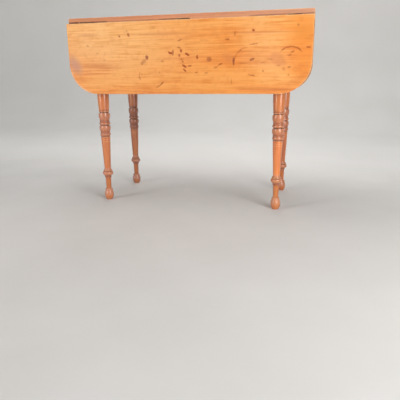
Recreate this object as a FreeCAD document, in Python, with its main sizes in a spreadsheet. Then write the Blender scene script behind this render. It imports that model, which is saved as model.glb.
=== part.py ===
"""A pembroke table with two hanging leaves, turned legs and one end drawer, as a FreeCAD document.

Millimetres. X runs along the table, the front leaf is at -Y, Z is up, and the floor is Z = 0.
Pieces are made on the front side and mirrored to the rear. The leaves hang, as at rest.
"""
import FreeCAD, Part

import math
import os
import re

import Sketcher

SIZES = [
    ("table_height", 724, "floor to the top of the table"),
    ("top_length", 928, "length of the top and the leaves"),
    ("top_width", 368, "width of the fixed top"),
    ("board_thickness", 21, "top and leaves"),
    ("leaf_drop", 262, "hinge edge to free edge of a leaf"),
    ("leaf_corner", 112, "radius of a leaf's two free corners"),
    ("edge_round", 2.5, "eased outer edges of the boards"),
    ("joint_gap", 0.6, "between a raised leaf and the top"),
    ("end_overhang", 88, "end of the top to the face of the legs"),
    ("leaf_clearance", 6, "hanging leaf to the face of the legs"),
    ("leg_square", 46, "square head of a leg"),
    ("leg_head", 146, "length of that square head"),
    ("pommel_slope", 12, "turned slope under the head's corners"),
    ("foot_height", 39, "egg foot"),
    ("foot_base_dia", 23, "flat under the foot"),
    ("foot_swell", 5.6, "bulge of the foot"),
    ("foot_neck_dia", 30.5, "top of the foot"),
    ("shoulder_height", 10, "shoulder over the foot"),
    ("shoulder_swell", 2.2, "bulge of that shoulder"),
    ("ankle_height", 48, "between the shoulder and the fillet"),
    ("ankle_dia", 21, "above the shoulder"),
    ("ankle_top_dia", 23.5, "under the fillet"),
    ("fillet_height", 3.5, "fillet under the collar"),
    ("fillet_dia", 27, "that fillet"),
    ("collar_taper", 6, "hollow taper under the collar"),
    ("collar_edge_dia", 36, "lower and upper edge of the collar"),
    ("collar_height", 16, "height of the collar"),
    ("collar_swell", 3.8, "bulge of the collar"),
    ("cap_height", 6.5, "small ring over the collar"),
    ("cap_dia", 32.5, "edges of that ring"),
    ("cove_height", 7, "hollow over the cap"),
    ("cove_depth", 0.8, "depth of the hollows round the collar"),
    ("shaft_length", 132, "tapered shaft"),
    ("shaft_base_dia", 26.5, "thin end of the shaft"),
    ("shaft_top_dia", 38.5, "thick end of the shaft"),
    ("groove_dia", 35.5, "bottom of the grooves between the rings"),
    ("groove_width", 3, "width of those grooves"),
    ("ring_height", 12, "height of a ring"),
    ("ring_edge_dia", 38.5, "edges of the rings"),
    ("ring_swell", 3.2, "bulge of the middle ring"),
    ("end_ring_swell", 2, "bulge of the other rings"),
    ("top_ring_height", 6, "thin ring under the column"),
    ("lower_drum", 30, "height of the lower drum"),
    ("upper_drum", 37, "height of the upper drum"),
    ("drum_base_dia", 39.5, "drum at its lower end"),
    ("drum_dia", 44.8, "drum at its middle"),
    ("drum_top_dia", 42.5, "drum at its upper end"),
    ("drum_hollow", 1, "hollow of a drum's lower half"),
    ("drum_swell", 1.2, "bulge of a drum's upper half"),
    ("column_base_dia", 41, "lower end of the swelling column"),
    ("column_top_dia", 38, "upper end of the swelling column"),
    ("column_swell", 3.6, "bulge of the column"),
    ("neck_height", 19, "neck under the square head"),
    ("neck_dia", 36, "foot of that neck"),
    ("apron_height", 130, "height of the rails"),
    ("rail_thickness", 20, "inner rails and end rail"),
    ("rail_reveal", 1.5, "rails set in from the leg faces"),
    ("tenon_thickness", 8, "rail tenons"),
    ("tenon_length", 22, "tenons of the end rails"),
    ("tenon_wall", 8.5, "wood left between the mortises of a leg"),
    ("tenon_margin", 5, "tenons clear of the drawer rails"),
    ("peg_radius", 3.5, "pegs through the tenons"),
    ("peg_spacing", 44, "between the two pegs of a joint"),
    ("peg_past", 3, "how far a peg runs past its tenon"),
    ("fly_thickness", 22, "fly brackets"),
    ("fly_gap", 1, "around a fly and its knuckle"),
    ("fly_block", 200, "between the two knuckle pins of a side"),
    ("fly_headroom", 0.5, "fly to the underside of the top"),
    ("fly_end_gap", 7, "tip of a fly to the leg"),
    ("fly_height", 112, "fly at its knuckle"),
    ("fly_tip_height", 36, "fly at its tip"),
    ("fly_straight", 93, "length of a fly at its full height"),
    ("fly_hollow", 22, "depth of the curved lower edge beyond"),
    ("fly_pin_radius", 3, "iron pin in the knuckle"),
    ("pin_play", 0.05, "round a pin that turns"),
    ("finger_gap", 0.4, "between the knuckle's fingers"),
    ("hinge_end", 66, "end of a leaf to the middle of its hinge"),
    ("hinge_length", 48, "butt hinge"),
    ("hinge_plate_width", 30, "pin to the far edge of a plate"),
    ("hinge_plate_thickness", 2, "hinge plate"),
    ("barrel_radius", 3.5, "hinge barrel"),
    ("barrel_play", 0.5, "barrel to the other plate"),
    ("barrel_room", 2, "barrel to the wood"),
    ("barrel_gap", 0.3, "between the barrel's knuckles"),
    ("hinge_pin_radius", 1.7, "hinge pin"),
    ("top_screw_length", 32, "screws that hold the top"),
    ("top_screw_radius", 2.5, "its shank"),
    ("top_screw_head", 4.6, "radius of its head"),
    ("top_head_height", 2.8, "height of its head"),
    ("top_screw_pitch", 240, "between the screws along a side"),
    ("end_screw_pitch", 140, "between the screws at an end"),
    ("drawer_rail", 20, "thickness of the rails over and under the drawer"),
    ("tail_depth", 18, "dovetail of the upper drawer rail"),
    ("tail_root", 20, "narrow end of that dovetail"),
    ("tail_end", 26, "wide end of that dovetail"),
    ("stub_thickness", 10, "tenon of the lower drawer rail"),
    ("strip_width", 20, "drawer runners and kickers"),
    ("runner_height", 18, "drawer runners"),
    ("kicker_height", 19, "drawer kickers and glue block"),
    ("block_length", 180, "glue block at the plain end"),
    ("drawer_gap", 1, "drawer to its opening"),
    ("drawer_lift", 0.3, "drawer sides over the runners"),
    ("drawer_length", 380, "face to back of the drawer"),
    ("drawer_face", 20, "thickness of the drawer front"),
    ("drawer_lap", 6, "wood left in front of the dovetails"),
    ("drawer_side", 11, "thickness of the drawer sides and back"),
    ("drawer_bottom_thickness", 8, "drawer bottom"),
    ("drawer_groove", 5, "depth of the grooves for the bottom"),
    ("drawer_bottom_lift", 8, "drawer bottom over the edge of the sides"),
    ("drawer_back_drop", 6, "back lower than the sides"),
    ("drawer_back_inset", 14, "back of the sides to the drawer back"),
    ("stop_length", 22, "drawer stop along the runner"),
    ("stop_height", 14, "drawer stop"),
    ("stop_width", 14, "drawer stop across the runner"),
    ("knob_dia", 34, "drawer knob"),
    ("knob_reach", 26, "drawer face to the knob's crown"),
    ("knob_face_dia", 22, "flat of the knob's face"),
    ("knob_crown", 4, "rounding of the knob's rim"),
    ("knob_neck_dia", 15, "neck of the knob"),
    ("knob_neck", 11, "length of the neck"),
    ("knob_hollow", 2, "hollow of the neck"),
    ("knob_tenon_radius", 5, "knob's tenon through the drawer front"),
]

# Counts
KNUCKLE_FINGERS = 5
BARREL_KNUCKLES = 3
DRAWER_TAILS = 3

# Places worked out from the sheet
UNDERSIDE = "(table_height - board_thickness)"
PIN_Y = "(top_width / 2 + joint_gap / 2)"
LEG_X = "(top_length / 2 - end_overhang - leg_square / 2)"
LEG_FACE_Y = f"({PIN_Y} - leaf_clearance)"
LEG_Y = f"({LEG_FACE_Y} - leg_square / 2)"
LEG_INNER_X = f"({LEG_X} - leg_square / 2)"
LEG_INNER_Y = f"({LEG_Y} - leg_square / 2)"
END_FACE = f"({LEG_X} + leg_square / 2 - rail_reveal)"
APRON_LOW = f"({UNDERSIDE} - apron_height)"
LEG_HEAD_LOW = f"({UNDERSIDE} - leg_head)"
FLY_FACE = f"({LEG_FACE_Y} - rail_reveal)"
RAIL_FACE = f"({FLY_FACE} - fly_thickness - fly_gap)"
RAIL_INNER = f"({RAIL_FACE} - rail_thickness)"
TENON_LOW = f"({APRON_LOW} + drawer_rail + tenon_margin)"
TENON_HEIGHT = "(apron_height - 2 * (drawer_rail + tenon_margin))"
SIDE_TENON_END = f"({END_FACE} - (rail_thickness + tenon_thickness) / 2 - tenon_wall)"
FLY_LOW = f"({UNDERSIDE} - fly_headroom - fly_height)"
FLY_AXIS_Y = f"({FLY_FACE} - fly_thickness / 2)"
DRAWER_LOW = f"({APRON_LOW} + drawer_rail)"
DRAWER_HIGH = f"({UNDERSIDE} - drawer_rail)"
DRAWER_HALF = f"({LEG_INNER_Y} - drawer_gap)"
DRAWER_INNER = f"({END_FACE} - drawer_face)"
DRAWER_END = f"({END_FACE} - drawer_length)"
SIDE_LOW = f"({DRAWER_LOW} + drawer_lift)"
SIDE_HEIGHT = f"({DRAWER_HIGH} - drawer_gap - {SIDE_LOW})"
BOTTOM_LOW = f"({SIDE_LOW} + drawer_bottom_lift)"
BOTTOM_TOP = f"({BOTTOM_LOW} + drawer_bottom_thickness)"

doc = FreeCAD.newDocument("pembroke_table")
sheet = doc.addObject("Spreadsheet::Sheet", "dims")
pieces = []


def fill_sheet():
    """Puts each size, its alias and its note in a row of the sheet."""
    for row, (alias, size, note) in enumerate(SIZES, start=1):
        sheet.set(f"A{row}", alias)
        sheet.set(f"B{row}", str(size))
        sheet.setAlias(f"B{row}", alias)
        sheet.set(f"C{row}", note)
    doc.recompute()


def refer(formula):
    """A formula in the sheet's words, written for another object."""
    return re.sub(r"\b([a-z][a-z_]*)\b(?!\()", r"dims.\1", formula)


def value(formula):
    return float(sheet.evalExpression(formula))


def bind(obj, **formulas):
    for name, formula in formulas.items():
        obj.setExpression(name, refer(formula))


def place(obj, x="0", y="0", z="0"):
    for axis, formula in (("x", x), ("y", y), ("z", z)):
        if formula != "0":
            obj.setExpression(f"Placement.Base.{axis}", refer(formula))


def piece(obj, label):
    """Keeps an object as a sub-part with its own name."""
    obj.Label = label
    pieces.append(obj)
    return obj


# Shapes


def box(x, y, z, length, width, height):
    """A box from its low corner."""
    made = doc.addObject("Part::Box", "Box")
    bind(made, Length=length, Width=width, Height=height)
    place(made, x, y, z)
    return made


def cylinder(radius, height, x="0", y="0", z="0", along=(0, 0, 1)):
    made = doc.addObject("Part::Cylinder", "Cylinder")
    turn = FreeCAD.Rotation(FreeCAD.Vector(0, 0, 1), FreeCAD.Vector(*along))
    made.Placement = FreeCAD.Placement(FreeCAD.Vector(), turn)
    bind(made, Radius=radius, Height=height)
    place(made, x, y, z)
    return made


def fuse(shapes):
    made = doc.addObject("Part::MultiFuse", "Fuse")
    made.Shapes = shapes
    made.Refine = True
    return made


def cut(base, tools):
    made = doc.addObject("Part::Cut", "Cut")
    made.Base = base
    made.Tool = tools[0] if len(tools) == 1 else fuse(tools)
    made.Refine = True
    return made


def group(shapes):
    made = doc.addObject("Part::Compound", "Group")
    made.Links = shapes
    return made


def placed(shape, x="0", y="0", z="0", axis=(0, 0, 1), angle=0):
    """A copy of a shape at another place."""
    made = group([shape])
    made.Placement = FreeCAD.Placement(FreeCAD.Vector(), FreeCAD.Rotation(FreeCAD.Vector(*axis), angle))
    place(made, x, y, z)
    return made


def mirror(shape, normal):
    made = doc.addObject("Part::Mirroring", "Mirror")
    made.Source = shape
    made.Normal = normal
    return made


def to_rear(shape):
    return mirror(shape, (0, 1, 0))


def to_left(shape):
    return mirror(shape, (1, 0, 0))


def arc(start, end, bulge):
    """An arc from start to end that bulges to the right of that way, or to the left if bulge is negative."""
    way = end - start
    right = FreeCAD.Vector(way.y, -way.x, 0).normalize()
    radius = (way.Length ** 2 / 4 + bulge ** 2) / (2 * abs(bulge))
    centre = (start + end) / 2 + right * (bulge - math.copysign(radius, bulge))
    ends = (start, end) if bulge > 0 else (end, start)
    first, last = (math.atan2(p.y - centre.y, p.x - centre.x) for p in ends)
    if last < first:
        last += 2 * math.pi
    return Part.ArcOfCircle(Part.Circle(centre, FreeCAD.Vector(0, 0, 1), radius), first, last)


def arc_radius(start, end, bulge):
    """The formula of that arc's radius."""
    across = f"(({end[0]}) - ({start[0]}))"
    up = f"(({end[1]}) - ({start[1]}))"
    return f"(({across}^2 + {up}^2) / 4 + ({bulge})^2) / (2 * abs({bulge}))"


def outline(body, role, corners, bulges=None):
    """A closed sketch through corners, anticlockwise, each a pair of formulas bound to the sheet.

    bulges gives, for the side after a corner, the formula of its bulge outwards.
    """
    bulges = bulges or {}
    plane = next(f for f in body.Origin.OriginFeatures if f.Role == role)
    sketch = body.newObject("Sketcher::SketchObject", "Outline")
    sketch.AttachmentSupport = (plane, [""])
    sketch.MapMode = "FlatFace"
    points = [FreeCAD.Vector(value(a), value(b), 0) for a, b in corners]
    count = len(corners)
    begins, ends = [], []
    for side in range(count):
        start, end = points[side], points[(side + 1) % count]
        bulge = value(bulges[side]) if side in bulges else 0
        sketch.addGeometry(arc(start, end, bulge) if bulge else Part.LineSegment(start, end))
        begins.append(2 if bulge < 0 else 1)
        ends.append(1 if bulge < 0 else 2)
    for side in range(count):
        last = (side - 1) % count
        sketch.addConstraint(Sketcher.Constraint("Coincident", last, ends[last], side, begins[side]))
        for kind, axis, formula, place_on in (
            ("DistanceX", -2, corners[side][0], points[side].x),
            ("DistanceY", -1, corners[side][1], points[side].y),
        ):
            if formula == "0":
                sketch.addConstraint(Sketcher.Constraint("PointOnObject", side, begins[side], axis))
                continue
            row = sketch.addConstraint(Sketcher.Constraint(kind, side, begins[side], place_on))
            sketch.setExpression(f"Constraints[{row}]", refer(formula))
    for side, bulge in bulges.items():
        start, end = corners[side], corners[(side + 1) % count]
        formula = arc_radius(start, end, bulge)
        row = sketch.addConstraint(Sketcher.Constraint("Radius", side, value(formula)))
        sketch.setExpression(f"Constraints[{row}]", refer(formula))
    return sketch


def rectangle(half_x, half_y):
    """The corners of a rectangle round the origin."""
    return [(f"-{half_x}", f"-{half_y}"), (half_x, f"-{half_y}"), (half_x, half_y), (f"-{half_x}", half_y)]


def new_body(name):
    return doc.addObject("PartDesign::Body", name)


def pad(body, sketch, length, **settings):
    made = body.newObject("PartDesign::Pad", "Pad")
    made.Profile = sketch
    bind(made, Length=length)
    for name, setting in settings.items():
        setattr(made, name, setting)
    return made


def revolve(body, sketch, kind="PartDesign::Revolution"):
    made = body.newObject(kind, "Turning")
    made.Profile = sketch
    made.ReferenceAxis = (sketch, ["V_Axis"])
    made.Angle = 360
    return made


def ease(body, base, wanted):
    """Rounds the edges of base for which wanted says yes."""
    doc.recompute()
    names = [f"Edge{n}" for n, edge in enumerate(base.Shape.Edges, start=1) if wanted(edge.BoundBox)]
    made = body.newObject("PartDesign::Fillet", "Eased")
    made.Base = (base, names)
    bind(made, Radius="edge_round")
    return made


# Legs


def leg_profile():
    """The turned profile from the floor up, with the bulge of each rounded member."""
    corners = [("0", "0"), ("foot_base_dia / 2", "0")]
    bulges = {}
    heights = ["0"]

    def member(dia, height, bulge=None):
        """The next member up: its height, the diameter it ends at and, if it is rounded, its bulge."""
        if bulge:
            bulges[len(corners) - 1] = bulge
        heights.append(height)
        corners.append((f"({dia}) / 2", " + ".join(heights)))

    def step(dia):
        member(dia, "0")

    def groove_and_ring(height, swell):
        step("groove_dia")
        member("groove_dia", "groove_width")
        step("ring_edge_dia")
        member("ring_edge_dia", height, swell)

    member("foot_neck_dia", "foot_height", "foot_swell")
    member("ankle_dia", "shoulder_height", "shoulder_swell")
    member("ankle_top_dia", "ankle_height")
    step("fillet_dia")
    member("fillet_dia", "fillet_height", "fillet_height / 4")
    member("collar_edge_dia", "collar_taper", "-cove_depth")
    member("collar_edge_dia", "collar_height", "collar_swell")
    step("cap_dia")
    member("cap_dia", "cap_height", "cap_height / 4")
    member("shaft_base_dia", "cove_height", "-cove_depth")
    member("shaft_top_dia", "shaft_length")
    for swell, drum in (("end_ring_swell", "lower_drum"), ("ring_swell", "upper_drum")):
        groove_and_ring("ring_height", swell)
        step("drum_base_dia")
        member("drum_dia", f"{drum} / 2", "-drum_hollow")
        member("drum_top_dia", f"{drum} / 2", "drum_swell")
    groove_and_ring("top_ring_height", "end_ring_swell")
    step("column_base_dia")
    below = " + ".join(heights)
    member("column_top_dia", f"({LEG_HEAD_LOW} - neck_height - ring_height - ({below}))", "column_swell")
    member("neck_dia", "ring_height", "end_ring_swell")
    member("leg_square", "neck_height", "-end_ring_swell")
    corners.append(("0", LEG_HEAD_LOW))
    return corners, bulges


def turned_leg(x, y):
    """A whole leg before its joints are cut: square head, turned shaft and egg foot."""
    body = new_body("Leg")
    half = "leg_square / 2"
    square = outline(body, "XY_Plane", rectangle(half, half))
    square.setExpression("AttachmentOffset.Base.z", refer(LEG_HEAD_LOW))
    pad(body, square, "leg_head")
    rim = f"{half} * sqrt(2)"
    pommel = [(half, LEG_HEAD_LOW), (rim, LEG_HEAD_LOW), (rim, f"{LEG_HEAD_LOW} + pommel_slope")]
    revolve(body, outline(body, "XZ_Plane", pommel), "PartDesign::Groove")
    revolve(body, outline(body, "XZ_Plane", *leg_profile()))
    place(body, x, y)
    return body


# Leaves, hinges and top


def top_blank():
    body = new_body("Top")
    sketch = outline(body, "XY_Plane", rectangle("top_length / 2", "top_width / 2"))
    slab = pad(body, sketch, "board_thickness")
    ease(body, slab, lambda reach: reach.XLength < 0.1 and reach.ZLength < 0.1)
    place(body, z=UNDERSIDE)
    return body


def leaf_blank():
    """The front leaf as it hangs, with its inner face through the hinge pin."""
    body = new_body("Leaf")
    half = "top_length / 2"
    high = f"({UNDERSIDE} - joint_gap / 2)"
    low = f"({high} - leaf_drop)"
    bend = f"({low} + leaf_corner)"
    corners = [
        (f"-{half}", bend),
        (f"-{half} + leaf_corner", low),
        (f"{half} - leaf_corner", low),
        (half, bend),
        (half, high),
        (f"-{half}", high),
    ]
    quarter = "leaf_corner * (1 - sqrt(2) / 2)"
    slab = pad(body, outline(body, "XZ_Plane", corners, {0: quarter, 2: quarter}), "board_thickness")
    joint = value(high) - 0.1
    ease(body, slab, lambda reach: reach.YLength < 0.1 and reach.ZMin < joint)
    place(body, y=f"-{PIN_Y}")
    return body


def hinge_plate(own_knuckles, bore):
    """One plate of a butt hinge, pin along X at the origin, plate along +Y with its open face down."""
    pitch = f"(hinge_length / {BARREL_KNUCKLES})"
    setback = "(barrel_radius + barrel_play)"
    plate = box("-hinge_length / 2", setback, "0", "hinge_length", f"hinge_plate_width - {setback}",
                "hinge_plate_thickness")
    solids = [plate]
    for knuckle in own_knuckles:
        start = f"({knuckle} * {pitch} - hinge_length / 2 + barrel_gap / 2)"
        width = f"({pitch} - barrel_gap)"
        solids.append(box(start, "0", "0", width, f"{setback} + 1", "hinge_plate_thickness"))
        solids.append(cylinder("barrel_radius", width, x=start, along=(1, 0, 0)))
    hole = cylinder(bore, "hinge_length", x="-hinge_length / 2", along=(1, 0, 0))
    return cut(fuse(solids), [hole])


def hinge_seat():
    """The wood cut away for one plate and the barrel."""
    room = "(barrel_radius + barrel_room)"
    plate = box("-hinge_length / 2", "0", "0", "hinge_length", "hinge_plate_width", "hinge_plate_thickness")
    barrel = box("-hinge_length / 2", f"-{room}", f"-{room}", "hinge_length", f"2 * {room}", f"2 * {room}")
    return fuse([plate, barrel])


def leaves_and_hinges():
    """Both leaves and the six hinges with their pins. Gives back the wood to cut from the top for them."""
    seat = hinge_seat()
    top_plate = hinge_plate(range(0, BARREL_KNUCKLES, 2), "hinge_pin_radius")
    leaf_plate = hinge_plate(range(1, BARREL_KNUCKLES, 2), "hinge_pin_radius + pin_play")
    pin = cylinder("hinge_pin_radius", "hinge_length", x="-hinge_length / 2", along=(1, 0, 0))

    at_top = {"y": f"-{PIN_Y}", "z": UNDERSIDE}
    at_leaf = {**at_top, "axis": (0, 1, -1), "angle": 180}
    outer = "(top_length / 2 - hinge_end)"
    top_seats, leaf_seats = [], []
    for side, x in (("left", f"-{outer}"), ("middle", "0"), ("right", outer)):
        front = {
            "top_plate": placed(top_plate, x, **at_top),
            "leaf_plate": placed(leaf_plate, x, **at_leaf),
            "pin": placed(pin, x, **at_top),
        }
        for name, made in front.items():
            piece(made, f"front_{side}_hinge_{name}")
            piece(to_rear(made), f"rear_{side}_hinge_{name}")
        top_seats.append(placed(seat, x, **at_top))
        leaf_seats.append(placed(seat, x, **at_leaf))
    front_leaf = piece(cut(leaf_blank(), leaf_seats), "front_leaf")
    piece(to_rear(front_leaf), "rear_leaf")
    return fuse(top_seats)


# Frame


def inner_rail():
    """The front inner rail with a tenon at each end."""
    rail = box(f"-{LEG_INNER_X}", f"-{RAIL_FACE}", APRON_LOW,
               f"2 * {LEG_INNER_X}", "rail_thickness", "apron_height")
    middle = f"({RAIL_FACE} - rail_thickness / 2)"
    tenons = box(f"-{SIDE_TENON_END}", f"-{middle} - tenon_thickness / 2", TENON_LOW,
                 f"2 * {SIDE_TENON_END}", "tenon_thickness", TENON_HEIGHT)
    return fuse([rail, tenons])


def end_rail():
    """The plain end's rail with a tenon at each end."""
    inner = f"({END_FACE} - rail_thickness)"
    rail = box(inner, f"-{LEG_INNER_Y}", APRON_LOW, "rail_thickness", f"2 * {LEG_INNER_Y}", "apron_height")
    reach = f"({LEG_INNER_Y} + tenon_length)"
    tenons = box(f"{END_FACE} - (rail_thickness + tenon_thickness) / 2", f"-{reach}", TENON_LOW,
                 "tenon_thickness", f"2 * {reach}", TENON_HEIGHT)
    return fuse([rail, tenons])


def upper_drawer_rail():
    """The rail over the drawer, with a dovetail at each end let into the top of a leg."""
    body = new_body("UpperRail")
    edge, back, half = f"-{END_FACE}", f"-{LEG_INNER_X}", LEG_INNER_Y
    middle = f"({edge} + {back}) / 2"
    reach = f"({half} + tail_depth)"
    corners = [
        (edge, f"-{half}"),
        (f"{middle} - tail_root / 2", f"-{half}"),
        (f"{middle} - tail_end / 2", f"-{reach}"),
        (f"{middle} + tail_end / 2", f"-{reach}"),
        (f"{middle} + tail_root / 2", f"-{half}"),
        (back, f"-{half}"),
        (back, half),
        (f"{middle} + tail_root / 2", half),
        (f"{middle} + tail_end / 2", reach),
        (f"{middle} - tail_end / 2", reach),
        (f"{middle} - tail_root / 2", half),
        (edge, half),
    ]
    pad(body, outline(body, "XY_Plane", corners), "drawer_rail")
    place(body, z=DRAWER_HIGH)
    return body


def lower_drawer_rail():
    """The rail under the drawer, with a stub tenon at each end."""
    width = "(leg_square - rail_reveal)"
    rail = box(f"-{END_FACE}", f"-{LEG_INNER_Y}", APRON_LOW, width, f"2 * {LEG_INNER_Y}", "drawer_rail")
    reach = f"({LEG_INNER_Y} + tenon_length)"
    inset = f"({width} / 5)"
    stubs = box(f"-{END_FACE} + {inset}", f"-{reach}", f"{APRON_LOW} + (drawer_rail - stub_thickness) / 2",
                f"{width} - 2 * {inset}", f"2 * {reach}", "stub_thickness")
    return fuse([rail, stubs])


def joint_pegs():
    """The front side's pegs: two across each tenon of the inner rail and two across the end rail's."""
    pegs = {"left": [], "right": []}
    side_in = f"({RAIL_FACE} - (rail_thickness - tenon_thickness) / 2 - tenon_thickness - peg_past)"
    end_in = f"({END_FACE} - (rail_thickness + tenon_thickness) / 2 - peg_past)"
    for way in ("-", "+"):
        level = f"{APRON_LOW} + apron_height / 2 {way} peg_spacing / 2"
        along = f"(({LEG_INNER_X} + {SIDE_TENON_END}) / 2)"
        for side, x in (("left", f"-{along}"), ("right", along)):
            depth = f"{LEG_FACE_Y} - {side_in}"
            pegs[side].append(cylinder("peg_radius", depth, x, f"-{LEG_FACE_Y}", level, (0, 1, 0)))
        across = f"-({LEG_INNER_Y} + tenon_length / 2)"
        depth = f"{LEG_X} + leg_square / 2 - {end_in}"
        pegs["right"].append(cylinder("peg_radius", depth, end_in, across, level, (1, 0, 0)))
    return pegs


def frame():
    """The legs, rails and pegs. The legs' mortises are cut by the tenons that go in them."""
    pegs = joint_pegs()
    all_pegs = group(pegs["left"] + pegs["right"])
    rear_pegs = to_rear(all_pegs)
    rail_blank = inner_rail()
    plain_blank = end_rail()
    upper = upper_drawer_rail()
    lower = piece(lower_drawer_rail(), "lower_drawer_rail")
    rail = piece(cut(rail_blank, [all_pegs]), "front_inner_rail")
    piece(to_rear(rail), "rear_inner_rail")
    piece(cut(plain_blank, [all_pegs, rear_pegs]), "plain_end_rail")
    left = cut(turned_leg(f"-{LEG_X}", f"-{LEG_Y}"), [rail_blank, upper, lower] + pegs["left"])
    right = cut(turned_leg(LEG_X, f"-{LEG_Y}"), [rail_blank, plain_blank] + pegs["right"])
    for side, leg in (("left", left), ("right", right)):
        piece(leg, f"front_{side}_leg")
        piece(to_rear(leg), f"rear_{side}_leg")
    piece(group([all_pegs, rear_pegs]), "joint_pegs")
    return upper


def fly_fingers(numbers, room):
    """Discs round the knuckle's pin at the levels of some fingers, with room round them."""
    pitch = f"(fly_height / {KNUCKLE_FINGERS})"
    return [
        cylinder("fly_thickness / 2 + fly_gap", f"{pitch} + {room}", "fly_block / 2", f"-{FLY_AXIS_Y}",
                 f"{FLY_LOW} + {number} * {pitch} - {room} / 2")
        for number in numbers
    ]


def fly_brackets():
    """Two fly brackets a side, on wooden knuckles with iron pins, and the fixed block between them."""
    block_fingers = range(0, KNUCKLE_FINGERS, 2)
    own_fingers = range(1, KNUCKLE_FINGERS, 2)
    at_pin = {"x": "fly_block / 2", "y": f"-{FLY_AXIS_Y}", "z": FLY_LOW}
    pin = cylinder("fly_pin_radius", "fly_height", **at_pin)
    barrel = cylinder("fly_thickness / 2", "fly_height", **at_pin)

    block = box("-fly_block / 2", f"-{FLY_FACE}", FLY_LOW, "fly_block", "fly_thickness + fly_gap",
                "fly_height + fly_headroom")
    gaps = fly_fingers(own_fingers, "finger_gap")
    right_cuts = fuse(gaps + [pin])
    solid = fuse([block, barrel, to_left(barrel)])
    front_block = piece(cut(solid, [right_cuts, to_left(right_cuts)]), "front_fly_block")
    piece(to_rear(front_block), "rear_fly_block")

    body = new_body("Fly")
    length = f"({LEG_INNER_X} - fly_end_gap - fly_block / 2)"
    corners = [
        ("0", "0"),
        ("fly_straight", "0"),
        (length, "fly_height - fly_tip_height"),
        (length, "fly_height"),
        ("0", "fly_height"),
    ]
    profile = outline(body, "XZ_Plane", corners, {1: "-fly_hollow"})
    pad(body, profile, "fly_thickness", Reversed=True)
    place(body, "fly_block / 2", f"-{FLY_FACE}", FLY_LOW)
    turning_hole = cylinder("fly_pin_radius + pin_play", "fly_height", **at_pin)
    fly = cut(fuse([body, barrel]), fly_fingers(block_fingers, "finger_gap") + [turning_hole])
    front_right = piece(fly, "front_right_fly")
    front_left = piece(to_left(fly), "front_left_fly")
    piece(to_rear(front_right), "rear_right_fly")
    piece(to_rear(front_left), "rear_left_fly")
    pair = group([pin, to_left(pin)])
    piece(group([pair, to_rear(pair)]), "fly_pins")


def top_screw():
    """A countersunk screw pointing up, with its head's face at the origin."""
    cone = doc.addObject("Part::Cone", "Head")
    bind(cone, Radius1="top_screw_head", Radius2="top_screw_radius", Height="top_head_height")
    return fuse([cone, cylinder("top_screw_radius", "top_screw_length")])


def strips_and_top(top_seats, upper_rail):
    """Runners, kickers, stops and glue block, and the top with the screws that hold it."""
    screw = top_screw()
    inner_edge = f"-{RAIL_INNER}"
    strip_low = f"{UNDERSIDE} - kicker_height"
    runner = box(f"-{LEG_INNER_X}", inner_edge, f"{DRAWER_LOW} - runner_height",
                 f"2 * {LEG_INNER_X}", "strip_width", "runner_height")
    kicker = box(f"-{LEG_INNER_X}", inner_edge, strip_low,
                 f"2 * {LEG_INNER_X}", "strip_width", "kicker_height")
    block = box(f"{END_FACE} - rail_thickness - strip_width", "-block_length / 2", strip_low,
                "strip_width", "block_length", "kicker_height")
    stop = box(f"-{DRAWER_END} + drawer_lift", inner_edge, DRAWER_LOW,
               "stop_length", "stop_width", "stop_height")

    kicker_y = f"{inner_edge} + strip_width / 2"
    block_x = f"{END_FACE} - rail_thickness - strip_width / 2"
    rail_x = f"-({END_FACE} + {LEG_INNER_X}) / 2"
    front_places = [(x, kicker_y, strip_low) for x in ("-top_screw_pitch", "0", "top_screw_pitch")]
    front_places.append((block_x, "-end_screw_pitch / 2", strip_low))
    front_places.append((rail_x, "-end_screw_pitch / 2", DRAWER_HIGH))
    front_screws = group([placed(screw, *at) for at in front_places])
    rear_screws = to_rear(front_screws)

    front_kicker = piece(cut(kicker, [front_screws]), "front_drawer_kicker")
    piece(to_rear(front_kicker), "rear_drawer_kicker")
    piece(runner, "front_drawer_runner")
    piece(to_rear(runner), "rear_drawer_runner")
    piece(cut(block, [front_screws, rear_screws]), "end_glue_block")
    piece(stop, "front_drawer_stop")
    piece(to_rear(stop), "rear_drawer_stop")
    piece(group([front_screws, rear_screws]), "top_screws")
    piece(cut(upper_rail, [front_screws, rear_screws]), "upper_drawer_rail")
    piece(cut(top_blank(), [top_seats, to_rear(top_seats), front_screws, rear_screws]), "top_board")


# Drawer


def drawer_side_blank():
    """The front side of the drawer, with dovetails that lock into the drawer front."""
    body = new_body("DrawerSide")
    shoulder = f"-{DRAWER_INNER}"
    tip = f"-({END_FACE} - drawer_lap)"
    end = f"-{DRAWER_END}"
    pitch = f"({SIDE_HEIGHT} / {DRAWER_TAILS})"
    corners = [(shoulder, "0"), (end, "0"), (end, SIDE_HEIGHT), (shoulder, SIDE_HEIGHT)]
    for tail in reversed(range(DRAWER_TAILS)):
        middle = f"({tail} + 0.5) * {pitch}"
        corners.append((shoulder, f"{middle} + {pitch} / 4"))
        corners.append((tip, f"{middle} + {pitch} / 3"))
        corners.append((tip, f"{middle} - {pitch} / 3"))
        corners.append((shoulder, f"{middle} - {pitch} / 4"))
    pad(body, outline(body, "XZ_Plane", corners), "drawer_side", Reversed=True)
    place(body, y=f"-{DRAWER_HALF}", z=SIDE_LOW)
    return body


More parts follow.
